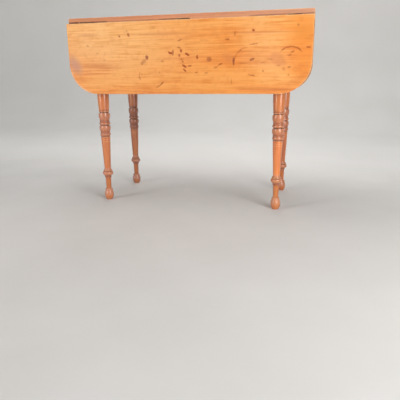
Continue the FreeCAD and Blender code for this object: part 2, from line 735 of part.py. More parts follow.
def drawer_knob():
    """A turned knob, its axis out through the middle of the drawer front."""
    body = new_body("Knob")
    corners = [
        ("0", "-drawer_face"),
        ("knob_tenon_radius", "-drawer_face"),
        ("knob_tenon_radius", "0"),
        ("knob_neck_dia / 2", "0"),
        ("knob_neck_dia / 2", "knob_neck"),
        ("knob_dia / 2", "knob_reach - knob_crown"),
        ("knob_face_dia / 2", "knob_reach"),
        ("0", "knob_reach"),
    ]
    bulges = {3: "-knob_hollow", 4: "knob_hollow", 5: "knob_crown / 5"}
    revolve(body, outline(body, "XZ_Plane", corners, bulges))
    body.Placement = FreeCAD.Placement(FreeCAD.Vector(), FreeCAD.Rotation(FreeCAD.Vector(0, 1, 0), -90))
    place(body, x=f"-{END_FACE}", z=f"({DRAWER_LOW} + {DRAWER_HIGH}) / 2")
    return body


def drawer():
    inner_half = f"({DRAWER_HALF} - drawer_side)"
    reach = f"({inner_half} + drawer_groove)"
    start = f"-({DRAWER_INNER} + drawer_groove)"
    bottom = box(start, f"-{reach}", BOTTOM_LOW, f"-{DRAWER_END} - {start}", f"2 * {reach}",
                 "drawer_bottom_thickness")
    back_top = f"({SIDE_LOW} + {SIDE_HEIGHT} - drawer_back_drop)"
    back = box(f"-{DRAWER_END} - drawer_back_inset - drawer_side", f"-{reach}", BOTTOM_TOP, "drawer_side",
               f"2 * {reach}", f"{back_top} - {BOTTOM_TOP}")
    side_blank = drawer_side_blank()
    knob = drawer_knob()
    face = box(f"-{END_FACE}", f"-{DRAWER_HALF}", f"{DRAWER_LOW} + drawer_gap",
               "drawer_face", f"2 * {DRAWER_HALF}", f"{DRAWER_HIGH} - {DRAWER_LOW} - 2 * drawer_gap")
    side = piece(cut(side_blank, [bottom, back]), "front_drawer_side")
    piece(to_rear(side), "rear_drawer_side")
    piece(cut(face, [side_blank, to_rear(side_blank), bottom, knob]), "drawer_front")
    piece(bottom, "drawer_bottom")
    piece(back, "drawer_back")
    piece(knob, "drawer_knob")


def write_parts():
    """Stops on a broken object, and writes each sub-part to its own file."""
    doc.recompute()
    for obj in doc.Objects:
        if "Invalid" in obj.State or "Error" in obj.State:
            raise SystemExit(f"{obj.Label} ({obj.TypeId}) did not build: {obj.State}")
    os.makedirs("parts", exist_ok=True)
    for obj in pieces:
        if obj.Shape.isNull() or not obj.Shape.isValid() or not obj.Shape.Solids:
            raise SystemExit(f"{obj.Label} has no valid solid")
        obj.Shape.exportStep(f"parts/{obj.Label}.step")
    print(len(pieces), "sub-parts written")


fill_sheet()
seats = leaves_and_hinges()
drawer_rail_over = frame()
fly_brackets()
strips_and_top(seats, drawer_rail_over)
drawer()
write_parts()
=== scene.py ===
"""Looks of a drop-leaf table: woods, iron, hinge screws, floor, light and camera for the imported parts."""
import math

import bmesh
import bpy
from mathutils import Matrix, Vector


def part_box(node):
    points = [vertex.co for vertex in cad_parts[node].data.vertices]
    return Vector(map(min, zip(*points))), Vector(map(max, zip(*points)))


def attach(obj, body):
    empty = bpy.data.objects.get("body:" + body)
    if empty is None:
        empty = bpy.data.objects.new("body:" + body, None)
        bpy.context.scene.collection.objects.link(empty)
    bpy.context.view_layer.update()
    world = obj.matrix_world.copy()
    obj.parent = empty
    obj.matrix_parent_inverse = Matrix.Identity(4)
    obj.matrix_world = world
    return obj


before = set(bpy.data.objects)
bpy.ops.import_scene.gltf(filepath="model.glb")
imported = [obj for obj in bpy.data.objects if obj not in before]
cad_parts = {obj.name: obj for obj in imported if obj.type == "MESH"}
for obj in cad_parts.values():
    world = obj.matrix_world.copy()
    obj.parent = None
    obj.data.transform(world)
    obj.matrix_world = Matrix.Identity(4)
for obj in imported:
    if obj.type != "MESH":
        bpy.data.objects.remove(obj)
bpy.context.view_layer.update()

MM = 0.001
AXES = "XYZ"
SIDES = ("front", "rear")
HINGE_PLACES = ("left", "middle", "right")

# Camera, fitted to the table's corners, rings and feet in the photograph
PICTURE_SIDE = 400
SENSOR_WIDTH = 36.0
FOCAL_PIXELS = 439.75
CAMERA_PLACE = Vector((0.4740, -1.8361, 0.4946))
CAMERA_YAW = math.radians(14.204)
CAMERA_PITCH = math.radians(15.377)
CAMERA_ROLL = math.radians(-0.498)


# Shader nodes
def shade(red, green, blue):
    """A colour written as on screen, 0 to 255, as the linear colour that shaders take."""
    linear = []
    for level in (red, green, blue):
        level = level / 255
        linear.append(level / 12.92 if level <= 0.04045 else ((level + 0.055) / 1.055) ** 2.4)
    return (*linear, 1.0)


def add(tree, kind, sources=None, **settings):
    """A shader node with its settings, its input values and its links."""
    made = tree.nodes.new("ShaderNode" + kind)
    for name, setting in settings.items():
        setattr(made, name, setting)
    for socket, source in (sources or {}).items():
        if isinstance(source, bpy.types.NodeSocket):
            tree.links.new(source, made.inputs[socket])
        else:
            made.inputs[socket].default_value = source
    return made


def reckon(tree, operation, first, second):
    """One step of arithmetic on two numbers or sockets."""
    return add(tree, "Math", {0: first, 1: second}, operation=operation).outputs[0]


def times(tree, first, second):
    """Two numbers or sockets multiplied."""
    return reckon(tree, "MULTIPLY", first, second)


def vector(tree, operation, first, second=(0.0, 0.0, 0.0)):
    """One step of vector arithmetic, as a vector."""
    return add(tree, "VectorMath", {0: first, 1: second}, operation=operation).outputs["Vector"]


def measure(tree, operation, first, second=(0.0, 0.0, 0.0)):
    """One step of vector arithmetic, as a number."""
    return add(tree, "VectorMath", {0: first, 1: second}, operation=operation).outputs["Value"]


def part_of(tree, place, axis):
    """One coordinate of a place."""
    return add(tree, "SeparateXYZ", {"Vector": place}).outputs[axis]


def span(tree, number, low, high, to_low=0.0, to_high=1.0):
    """A smooth step from to_low at low to to_high at high."""
    sources = {"Value": number, "From Min": low, "From Max": high, "To Min": to_low, "To Max": to_high}
    return add(tree, "MapRange", sources, interpolation_type="SMOOTHSTEP").outputs["Result"]


def blend(tree, factor, first, second, how="MIX"):
    """Two colours mixed."""
    return add(tree, "Mix", {0: factor, 6: first, 7: second}, data_type="RGBA", blend_type=how).outputs[2]


def tint(tree, colour, mask, share, other):
    """A colour mixed with another by a share of a mask."""
    return blend(tree, times(tree, mask, share), colour, other)


def noise(tree, place, scale, detail=3.0, roughness=0.55, distortion=0.0):
    """Soft noise around 0.5."""
    sources = {"Vector": place, "Scale": scale, "Detail": detail, "Roughness": roughness}
    sources["Distortion"] = distortion
    return add(tree, "TexNoise", sources).outputs["Fac"]


def ramp(tree, number, stops):
    """A colour read from a row of (position, colour) stops."""
    made = add(tree, "ValToRGB", {"Fac": number})
    line = made.color_ramp.elements
    for spare in range(len(stops) - len(line)):
        line.new(0.5)
    for element, (position, colour) in zip(line, stops):
        element.position = position
        element.color = colour
    return made.outputs["Color"]


def weighted(tree, parts):
    """The sum of (socket, weight) parts."""
    total = 0.0
    for socket, weight in parts:
        total = add(tree, "Math", {0: socket, 1: weight, 2: total}, operation="MULTIPLY_ADD").outputs[0]
    return total


def heaviest(tree, masks):
    """The strongest of several masks at each point."""
    total = 0.0
    for mask in masks:
        total = reckon(tree, "MAXIMUM", total, mask)
    return total


def facing(tree, normal, direction, low=0.5, high=0.8):
    """1 where the piece's own surface faces a direction, 0 elsewhere."""
    return span(tree, measure(tree, "DOT_PRODUCT", normal, direction), low, high)


def openness(tree, distance, inside):
    """1 on open surface, less in the piece's own creases or, with inside, at its thin edges."""
    made = add(tree, "AmbientOcclusion", {"Distance": distance}, samples=8, inside=inside, only_local=True)
    return made.outputs["AO"]


def new_material(name):
    """An empty node material and its shader."""
    material = bpy.data.materials.new(name)
    material.use_nodes = True
    tree = material.node_tree
    return material, tree, tree.nodes["Principled BSDF"]


# Wood
DRAWN_SIGNALS = {
    # share of the length along the grain, then the noise's scale, detail, roughness and distortion
    "figure": (0.06, 15.0, 3.0, 0.5, 0.3),
    "streak": (0.03, 75.0, 4.0, 0.6, 0.0),
    "band": (0.05, 170.0, 2.0, 0.5, 0.0),
    "fibre": (0.012, 900.0, 2.0, 0.55, 0.0),
    "pores": (0.012, 1500.0, 1.0, 0.55, 0.0),
}
EVEN_SIGNALS = {
    # the noise's scale, detail and roughness
    "cloud": (7.0, 3.0, 0.55),
    "smudge": (38.0, 4.0, 0.6),
}
FLECK_EDGE = (0.62, 0.74)
RING_DRAW = 0.06
RING_WAVER = {"Distortion": 16.0, "Detail": 2.0, "Detail Scale": 0.06}
# the wave texture's phase, in radians for one unit of length at scale 1
WAVE_PHASE = 20

TONE_WEIGHTS = {"figure": 0.95, "streak": 0.60, "band": 0.30, "fibre": 0.30}
TONE_STOPS = {"dark": 0.22, "middle": 0.50, "light": 0.78}
ROUGH_WEIGHTS = {"streak": 0.10, "smudge": 0.22, "fibre": 0.08}
RELIEF_WEIGHTS = {"fibre": 0.5, "streak": 0.6, "flecks": -0.4, "cloud": 0.8}
RELIEF_DEPTH = 0.4 * MM
CREVICE_EDGE = (0.92, 0.45)
CREVICE_PATCHES = (0.1, 0.6, 0.55, 1.0)
THIN_EDGE = (0.94, 0.55)
WEAR_PATCHES = (0.35, 0.62)

# the dirt tone of each wood darkens its creases: real dirt there, and painted shade
TOP_TONES = {
    "light": shade(255, 188, 112),
    "middle": shade(247, 163, 80),
    "dark": shade(230, 124, 46),
    "worn": shade(255, 208, 156),
    "dirt_and_shade": shade(92, 50, 30),
}
FRAME_TONES = {
    "light": shade(246, 160, 98),
    "middle": shade(226, 136, 76),
    "dark": shade(186, 102, 56),
    "worn": shade(246, 184, 138),
    "dirt_and_shade": shade(84, 44, 30),
}
FLY_TONES = {
    "light": shade(206, 158, 112),
    "middle": shade(184, 132, 88),
    "dark": shade(150, 100, 64),
    "worn": shade(216, 176, 132),
    "dirt_and_shade": shade(70, 44, 30),
}
INNER_TONES = {
    "light": shade(226, 194, 148),
    "middle": shade(206, 168, 120),
    "dark": shade(174, 130, 86),
    "worn": shade(232, 206, 166),
    "dirt_and_shade": shade(92, 66, 44),
}
POLISHED = {
    "ring_gap": 5.5 * MM, "rings": 0.10, "flecks": 0.35, "rough": 0.44, "coat": 0.22, "coat_rough": 0.32,
    "dirt_and_shade": 0.75, "dirt_and_shade_reach": 9 * MM, "wear": 0.55, "wear_reach": 4 * MM, "bump": 0.22,
}
TURNED = {
    **POLISHED, "ring_gap": 4.5 * MM, "rings": 0.16, "rough": 0.40, "coat": 1.0, "coat_rough": 0.20,
    "dirt_and_shade": 0.8, "dirt_and_shade_reach": 7 * MM,
}
TOP = {**POLISHED, "rough": 0.56, "coat": 0.08, "coat_rough": 0.48}
LEAF = {**TOP, "wear": 0.8, "wear_reach": 5 * MM, "bump": 0.08}
BARE = {**POLISHED, "rings": 0.22, "flecks": 0.6, "rough": 0.72, "coat": 0.0, "wear": 0.35, "bump": 0.45}


def drawn_out(tree, place, axis, share):
    """Coordinates drawn out along an axis."""
    scale = [1.0, 1.0, 1.0]
    scale[AXES.index(axis)] = share
    return add(tree, "Mapping", {"Vector": place, "Scale": scale}).outputs["Vector"]


def lay_grain(tree, axis, heart, ring_gap):
    """A board's place, normal and named signals around 0.5, most of them drawn out along the grain."""
    source = add(tree, "TexCoord").outputs
    grain = {"place": source["Object"], "normal": source["Normal"]}
    from_heart = vector(tree, "SUBTRACT", grain["place"], heart)
    for name, (share, *settings) in DRAWN_SIGNALS.items():
        grain[name] = noise(tree, drawn_out(tree, from_heart, axis, share), *settings)
    for name, settings in EVEN_SIGNALS.items():
        grain[name] = noise(tree, grain["place"], *settings)
    grain["flecks"] = span(tree, grain["pores"], *FLECK_EDGE)
    sources = {"Vector": drawn_out(tree, from_heart, axis, RING_DRAW), **RING_WAVER}
    sources["Scale"] = 2 * math.pi / WAVE_PHASE / ring_gap
    wave = add(tree, "TexWave", sources, wave_type="RINGS", rings_direction=axis, wave_profile="SAW")
    grain["rings"] = wave.outputs["Fac"]
    return grain


def mixed(tree, grain, weights, middle):
    """The weighted sum of a grain's signals, moved so that it varies around a middle value."""
    total = weighted(tree, [(grain[name], weight) for name, weight in weights.items()])
    return reckon(tree, "ADD", total, middle - sum(weights.values()) / 2)


def wood(name, axis, heart, tones, look, layers=None):
    """A wood material: figure along an axis, its own layers, dirt and painted shade in the crevices and
    wear on the edges.
    """
    material, tree, shader = new_material(name)
    grain = lay_grain(tree, axis, heart, look["ring_gap"])
    tone = mixed(tree, grain, {**TONE_WEIGHTS, "rings": look["rings"]}, 0.5)
    colour = ramp(tree, tone, [(position, tones[key]) for key, position in TONE_STOPS.items()])
    colour = blend(tree, times(tree, grain["flecks"], look["flecks"]), colour, tones["dark"], "MULTIPLY")
    rough = mixed(tree, grain, ROUGH_WEIGHTS, look["rough"])
    if layers:
        colour, rough = layers(tree, grain, colour, rough)
    # dirt and painted shade: darker where the piece's own surfaces close in around a crease
    crevice_dirt_and_shade = span(tree, openness(tree, look["dirt_and_shade_reach"], False), *CREVICE_EDGE)
    crevice_dirt_and_shade = times(tree, crevice_dirt_and_shade, span(tree, grain["smudge"], *CREVICE_PATCHES))
    colour = tint(tree, colour, crevice_dirt_and_shade, look["dirt_and_shade"], tones["dirt_and_shade"])
    edge = span(tree, openness(tree, look["wear_reach"], True), *THIN_EDGE)
    edge = times(tree, edge, span(tree, grain["smudge"], *WEAR_PATCHES))
    colour = tint(tree, colour, edge, look["wear"], tones["worn"])
    relief = mixed(tree, grain, RELIEF_WEIGHTS, 0.5)
    bump = add(tree, "Bump", {"Strength": look["bump"], "Distance": RELIEF_DEPTH, "Height": relief})
    tree.links.new(colour, shader.inputs["Base Color"])
    tree.links.new(rough, shader.inputs["Roughness"])
    tree.links.new(bump.outputs["Normal"], shader.inputs["Normal"])
    shader.inputs["Coat Weight"].default_value = look["coat"]
    shader.inputs["Coat Roughness"].default_value = look["coat_rough"]
    return material


# Front leaf: its patches, stains and marks, placed by the photograph's pixels
OUTWARD = (0.0, -1.0, 0.0)
FIGURE_PATCHES = (0.3, 0.7, 0.5, 1.0)
TONE_AND_SHEEN_PATCHES = (
    # start pixel, end pixel, width in mm, softness, whether the figure breaks it up, share, colour
    # the pale patch at the upper left is a painted sheen; the other patches are the leaf's own tone
    ((78, 36), (150, 44), 230, 1.6, False, 0.68, shade(257, 203, 133)),
    ((186, 56), (236, 54), 420, 1.7, True, 0.50, shade(238, 148, 58)),
    ((306, 30), (308, 70), 130, 1.4, True, 0.74, shade(238, 139, 34)),
    ((303, 31), (311, 34), 48, 1.4, False, 0.45, shade(224, 136, 40)),
    ((258, 34), (272, 62), 130, 1.6, False, 0.45, shade(255, 192, 124)),
)
DULL_PATCHES = (
    # start pixel, end pixel, width in mm, softness, strength, as in the next three tables
    ((227, 57), (230, 58), 30, 1.3, 1.0),
    ((246, 58), (270, 60), 62, 1.3, 0.6),
)
DULL_STAINS = (
    ((275, 58), (280, 61), 42, 0.9, 1.5),
)
STREAKS = (
    ((238, 88.0), (296, 89.6), 11, 1.4, 1.0),
    ((222, 33.0), (296, 31.6), 7, 1.4, 0.8),
    ((138, 34.4), (186, 33.2), 10, 1.4, 0.8),
    ((80, 35.4), (95, 35.0), 13, 1.4, 0.8),
    ((84, 66.8), (116, 66.0), 26, 1.5, 0.7),
    ((126, 91.8), (172, 89.4), 5, 1.2, 0.6),
    ((288, 86.5), (306, 75.0), 26, 1.5, 0.5),
)
SPECKLED_PATCHES = (
    ((108, 58), (132, 57), 50, 1.2, 1.0),
    ((252, 61), (276, 60), 40, 1.2, 1.0),
)
# a painted sheen: a pale pinkish haze on the leaf's lower left
SHEEN_HAZE = ((73, 62), (77, 68), 42 * MM, 1.5)
# share and colour of each kind of patch
DULL_CAST = (0.30, shade(212, 124, 76))
STREAK_CAST = (0.48, shade(204, 108, 52))
SHEEN_HAZE_CAST = (0.75, shade(202, 144, 122))
BROWN_MARKS = (
    # start pixel, end pixel, width in mm, strength
    ((168.9, 52.3), (171.4, 53.5), 7.0, 0.95), ((172.8, 51.0), (172.6, 54.4), 6.0, 0.70),
    ((177.8, 47.3), (180.0, 48.0), 5.0, 0.60), ((180.8, 49.8), (181.0, 51.2), 6.5, 0.85),
    ((185.9, 53.4), (188.2, 54.9), 6.5, 1.00), ((179.2, 54.9), (179.4, 56.1), 5.5, 0.75),
    ((181.2, 59.2), (181.5, 59.2), 5.0, 0.55), ((183.1, 59.3), (183.3, 59.3), 4.5, 0.50),
    ((182.6, 61.4), (183.0, 61.7), 5.5, 0.60), ((183.3, 65.4), (185.5, 66.8), 6.5, 0.95),
    ((188.4, 66.3), (190.8, 65.6), 5.0, 0.65), ((183.7, 69.2), (185.7, 71.1), 5.0, 0.90),
    ((195.4, 72.5), (197.1, 72.4), 3.8, 0.60), ((205.2, 73.0), (207.6, 72.8), 4.5, 0.40),
    ((197.3, 56.3), (197.2, 57.9), 5.5, 0.95), ((178.2, 40.7), (181.4, 39.4), 4.5, 0.60),
    ((214.6, 68.0), (217.0, 67.2), 4.5, 0.50), ((218.6, 65.2), (221.8, 63.3), 5.0, 0.70),
    ((253.5, 29.9), (253.6, 30.1), 6.8, 0.95), ((235.1, 31.8), (234.8, 34.8), 5.5, 0.45),
    ((225.8, 39.2), (228.8, 39.3), 4.5, 0.70), ((250.2, 44.5), (257.3, 43.4), 3.8, 0.60),
    ((298.0, 24.6), (298.3, 24.8), 6.0, 0.40), ((307.2, 47.0), (309.8, 47.0), 5.0, 0.75),
    ((291.8, 52.0), (293.4, 51.2), 5.0, 0.60), ((288.0, 55.1), (291.0, 54.5), 4.5, 0.45),
    ((248.4, 74.4), (254.2, 75.5), 4.2, 0.60), ((262.9, 71.0), (263.2, 71.0), 5.5, 0.55),
    ((288.2, 67.4), (290.0, 66.7), 4.8, 0.50), ((283.5, 68.8), (283.8, 69.2), 8.5, 0.30),
    ((288.3, 74.5), (288.3, 75.0), 5.0, 0.42), ((277.2, 65.4), (279.8, 65.1), 4.0, 0.35),
    ((267.2, 58.6), (271.8, 59.2), 3.8, 0.32), ((260.6, 62.9), (264.8, 61.9), 4.0, 0.35),
    ((239.4, 63.3), (246.6, 63.0), 4.5, 0.32), ((240.4, 50.1), (240.7, 49.9), 5.0, 0.55),
    ((231.3, 79.0), (231.5, 84.0), 2.6, 0.45), ((128.0, 34.2), (128.4, 35.4), 6.5, 0.72),
    ((119.3, 36.5), (119.4, 36.7), 6.0, 0.65), ((126.3, 31.0), (126.8, 31.6), 5.0, 0.30),
    ((87.5, 46.2), (88.0, 46.2), 6.0, 0.35), ((96.6, 53.7), (97.8, 53.4), 5.0, 0.30),
    ((139.9, 72.4), (139.3, 76.0), 2.8, 0.45), ((139.3, 76.4), (140.4, 79.3), 4.0, 0.60),
    ((163.0, 81.9), (160.7, 84.8), 5.0, 0.72), ((160.3, 85.3), (156.8, 87.2), 3.8, 0.55),
    ((162.1, 61.2), (162.7, 61.3), 8.0, 0.35), ((153.3, 27.4), (153.8, 27.6), 7.5, 0.20),
    ((159.4, 72.0), (159.5, 73.2), 4.5, 0.32), ((142.0, 64.2), (142.3, 64.4), 5.0, 0.45),
    ((201.0, 40.2), (208.0, 40.4), 6.0, 0.15), ((104.0, 60.4), (105.2, 60.2), 4.5, 0.28),
)
PURPLE_MARKS = (
    ((146.7, 56.6), (147.0, 58.7), 8.5, 0.95), ((144.6, 60.6), (142.2, 62.8), 11.0, 0.45),
    ((233.5, 58.3), (233.6, 64.0), 6.2, 0.95), ((250.5, 59.9), (253.3, 58.7), 7.0, 0.80),
    ((208.8, 59.2), (209.3, 59.4), 13.5, 0.62),
)
RING_MARKS = (
    # three pixels along the ring, width in mm, strength
    ((233.6, 63.0), (238.0, 52.6), (247.6, 47.4), 4.2, 0.34),
    ((280.2, 51.8), (291.6, 46.6), (301.4, 50.6), 3.8, 0.66),
)
# share of a ring line's width at full strength, and of its reach where its ends are gone and start to fade
RING_CORE = 0.3
RING_FADE = (1.1, 0.7)
MARK_SPREAD = 1.25
MARK_SOFTNESS = 0.7
MARK_ROUGHNESS = 0.12
BROWN_CAST = (0.95, shade(168, 60, 0))
PURPLE_CAST = (0.90, shade(154, 68, 38))
WANDER_REACH = 7 * MM
WANDER_NOISE = {"Scale": 140.0, "Detail": 2.0}

# Front leaf: a painted highlight along the rounded rim of its left corner, and its fine lines and specks
LEAF_CORNER = 112 * MM
RIM_WIDTH = 5 * MM
RIM_TURNS = (190, 225, 260)
CORNER_RIM_HIGHLIGHT_CAST = (0.65, shade(255, 206, 178))
LINE_WEIGHTS = {"band": 0.75, "streak": 0.25}
LINE_STOPS = ((0.36, shade(238, 216, 178)), (0.58, shade(257, 257, 257)))
LINE_NOISE = (16.0, 3.0)
LINE_PATCHES = (0.42, 0.60, 0.15, 0.85)
MOTTLE_NOISE = (55.0, 3.0)
MOTTLE_EDGE = (0.50, 0.72)
MOTTLE_CAST = (0.28, shade(222, 134, 62))
SPECK_NOISE = (230.0, 2.0)
SPECK_EDGE = (0.64, 0.74)
SPECK_CAST = (0.45, shade(160, 82, 26))
SPECKLED_CLOUD = (0.45, 0.62)


def camera_axes():
    """The camera's right, up and forward directions."""
    forward = Vector((
        -math.sin(CAMERA_YAW) * math.cos(CAMERA_PITCH),
        math.cos(CAMERA_YAW) * math.cos(CAMERA_PITCH),
        -math.sin(CAMERA_PITCH),
    ))
    level = Vector((math.cos(CAMERA_YAW), math.sin(CAMERA_YAW), 0.0))
    square = level.cross(forward)
    right = math.cos(CAMERA_ROLL) * level + math.sin(CAMERA_ROLL) * square
    up = math.cos(CAMERA_ROLL) * square - math.sin(CAMERA_ROLL) * level
    return right, up, forward


def on_leaf(across, down):
    """The point of the front leaf's outer face that a pixel of the photograph shows."""
    right, up, forward = camera_axes()
    middle = PICTURE_SIDE / 2
    ray = forward + right * ((across - middle) / FOCAL_PIXELS) + up * ((middle - down) / FOCAL_PIXELS)
    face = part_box("front_leaf")[0].y
    return CAMERA_PLACE + ray * ((face - CAMERA_PLACE.y) / ray.y)


def blot(tree, place, start, end, width, soft):
    """A soft-edged oval from one pixel to another on the leaf's face, width in metres."""
    first = on_leaf(*start)
    last = on_leaf(*end)
    run = last - first
    half = run.length / 2 + width / 2
    sources = {
        "Vector": place,
        "Location": (first + last) / 2,
        "Rotation": (0.0, -math.atan2(run.z, run.x), 0.0),
        "Scale": (half, 1.0, width / 2),
    }
    turned = add(tree, "Mapping", sources, vector_type="TEXTURE").outputs["Vector"]
    reach = measure(tree, "LENGTH", vector(tree, "MULTIPLY", turned, (1.0, 0.0, 1.0)))
    return span(tree, reach, 1.0 + soft / 2, 1.0 - soft / 2)


def arc(tree, place, a, b, c, width):
    """A piece of a ring through three points of the leaf's face, fading towards its ends."""
    ab, ac = b - a, c - a
    turn = 2 * (ab.x * ac.z - ab.z * ac.x)
    centre = Vector((
        a.x + (ac.z * ab.length_squared - ab.z * ac.length_squared) / turn,
        a.y,
        a.z + (ab.x * ac.length_squared - ac.x * ab.length_squared) / turn,
    ))
    radius = (a - centre).length
    away = measure(tree, "DISTANCE", place, centre)
    off = reckon(tree, "ABSOLUTE", reckon(tree, "SUBTRACT", away, radius), 0.0)
    line = span(tree, off, width, width * RING_CORE)
    from_middle = measure(tree, "DISTANCE", place, b)
    reach = max((a - b).length, (c - b).length)
    return times(tree, line, span(tree, from_middle, *[reach * share for share in RING_FADE]))


def ovals(tree, place, table):
    """Masks of a table's soft ovals."""
    masks = []
    for start, end, width, soft, strength in table:
        masks.append(times(tree, blot(tree, place, start, end, width * MM, soft), strength))
    return masks


def marks(tree, place, table):
    """Masks of a table's small marks."""
    masks = []
    for start, end, width, strength in table:
        oval = blot(tree, place, start, end, width * MM * MARK_SPREAD, MARK_SOFTNESS)
        masks.append(times(tree, oval, strength))
    return masks


def wandering(tree, place):
    """A place moved a little to and fro, so that what is drawn there has uneven edges."""
    wander = add(tree, "TexNoise", {"Vector": place, **WANDER_NOISE}).outputs["Color"]
    wander = vector(tree, "SUBTRACT", wander, (0.5, 0.5, 0.5))
    wander = vector(tree, "MULTIPLY", wander, (WANDER_REACH, WANDER_REACH, WANDER_REACH))
    return vector(tree, "ADD", place, wander)


def leaf_shades(tree, grain, uneven_place, colour):
    """The leaf's paler, deeper and duller parts, the upper left one a painted sheen; its streaks; a painted
    sheen haze at its lower left; and a painted highlight along the rim of its left corner.
    """
    place = grain["place"]
    broken = span(tree, grain["figure"], *FIGURE_PATCHES)
    for start, end, width, soft, by_figure, share, other in TONE_AND_SHEEN_PATCHES:
        mask = blot(tree, place, start, end, width * MM, soft)
        if by_figure:
            mask = times(tree, mask, broken)
        colour = tint(tree, colour, mask, share, other)
    dull = heaviest(tree, ovals(tree, uneven_place, DULL_STAINS) + ovals(tree, place, DULL_PATCHES))
    colour = tint(tree, colour, dull, *DULL_CAST)
    colour = tint(tree, colour, heaviest(tree, ovals(tree, place, STREAKS)), *STREAK_CAST)
    colour = tint(tree, colour, blot(tree, place, *SHEEN_HAZE), *SHEEN_HAZE_CAST)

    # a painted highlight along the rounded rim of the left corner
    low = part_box("front_leaf")[0]
    corner = Vector((low.x + LEAF_CORNER, low.y, low.z + LEAF_CORNER))
    points = []
    for turn in RIM_TURNS:
        away = Vector((math.cos(math.radians(turn)), 0.0, math.sin(math.radians(turn))))
        points.append(corner + away * (LEAF_CORNER - RIM_WIDTH / 2))
    return tint(tree, colour, arc(tree, place, *points, RIM_WIDTH), *CORNER_RIM_HIGHLIGHT_CAST)


def leaf_texture(tree, grain, uneven_place, colour):
    """The leaf's fine dark lines, its mottle and its specks."""
    place = grain["place"]
    lines = ramp(tree, mixed(tree, grain, LINE_WEIGHTS, 0.5), LINE_STOPS)
    lined = span(tree, noise(tree, place, *LINE_NOISE), *LINE_PATCHES)
    colour = blend(tree, lined, colour, lines, "MULTIPLY")
    mottle = span(tree, noise(tree, uneven_place, *MOTTLE_NOISE), *MOTTLE_EDGE)
    colour = tint(tree, colour, mottle, *MOTTLE_CAST)
    specks = span(tree, noise(tree, place, *SPECK_NOISE), *SPECK_EDGE)
    speckled = [span(tree, grain["cloud"], *SPECKLED_CLOUD)] + ovals(tree, place, SPECKLED_PATCHES)
    specks = times(tree, specks, heaviest(tree, speckled))
    return tint(tree, colour, specks, *SPECK_CAST)


def leaf_stains(tree, grain, colour, rough):
    """The front leaf's outer face: its shades and texture, then spots, strokes and ring marks."""
    place = wandering(tree, grain["place"])
    colour = leaf_shades(tree, grain, place, colour)
    colour = leaf_texture(tree, grain, place, colour)
    brown = marks(tree, place, BROWN_MARKS)
    for start, middle, end, width, strength in RING_MARKS:
        points = [on_leaf(*pixel) for pixel in (start, middle, end)]
        brown.append(times(tree, arc(tree, place, *points, width * MM), strength))
    outer = facing(tree, grain["normal"], OUTWARD)
    brown = times(tree, heaviest(tree, brown), outer)
    purple = times(tree, heaviest(tree, marks(tree, place, PURPLE_MARKS)), outer)
    colour = tint(tree, colour, purple, *PURPLE_CAST)
    colour = tint(tree, colour, brown, *BROWN_CAST)
    return colour, reckon(tree, "ADD", rough, times(tree, brown, MARK_ROUGHNESS))


# Boards: their rims and bare sides, and the top board's front edge
TOP_RIM = ((0.3, shade(204, 130, 90)), (0.7, shade(236, 168, 126)))
# the leaves' rim tones are a painted highlight on their rounded edges
LEAF_RIM_HIGHLIGHT = ((0.3, shade(240, 176, 128)), (0.7, shade(255, 206, 168)))
RIM_EDGE = (0.35, 0.85)
RIM_PATCHES = (0.2, 0.6, 0.75, 1.0)
BARE_SIDE = ((0.25, shade(158, 110, 72)), (0.75, shade(196, 148, 102)))
BARE_SHARE = 0.85
BARE_ROUGHNESS = 0.25

# a painted shadow along the foot of the top board's front edge, above the hanging leaf
SEAM_SHADOW = (
    # from X, to X, strength
    (-0.50, -0.30, 0.95),
    (-0.30, -0.10, 0.40),
    (-0.10, 0.02, 0.75),
    (0.02, 0.24, 0.15),
    (0.24, 0.50, 0.50),
)
SEAM_BLUR = 0.015
SEAM_TOP = 711.5 * MM
SEAM_FADE = 2.5 * MM
SEAM_PATCHES = (0.3, 0.6, 0.7, 1.0)
SEAM_ROUGHNESS = 0.2
SEAM_SHADOW_TONE = shade(74, 36, 24)
STRIP_REACH = 0.46
STRIP_CASTS = ((0.0, shade(242, 236, 218)), (0.45, shade(258, 262, 264)), (1.0, shade(242, 256, 272)))


def board_layers(raw_side, rim_stops, before=None, after=None):
    """Layers of a table board: its rims' tones, on the leaves a painted highlight, and a bare, greyer
    hidden face, between its own layers.
    """
    flat = [abs(number) for number in raw_side]

    def layers(tree, grain, colour, rough):
        if before:
            colour, rough = before(tree, grain, colour, rough)
        face = facing(tree, vector(tree, "ABSOLUTE", grain["normal"]), flat, *RIM_EDGE)
        rim = reckon(tree, "SUBTRACT", 1.0, face)
        rim = times(tree, rim, span(tree, grain["smudge"], *RIM_PATCHES))
        # on the leaves the rim tones are a painted highlight
        colour = blend(tree, rim, colour, ramp(tree, grain["streak"], rim_stops))
        bare = facing(tree, grain["normal"], raw_side)
        colour = tint(tree, colour, bare, BARE_SHARE, ramp(tree, grain["figure"], BARE_SIDE))
        rough = reckon(tree, "ADD", rough, times(tree, bare, BARE_ROUGHNESS))
        if after:
            colour, rough = after(tree, grain, colour, rough)
        return colour, rough

    return layers


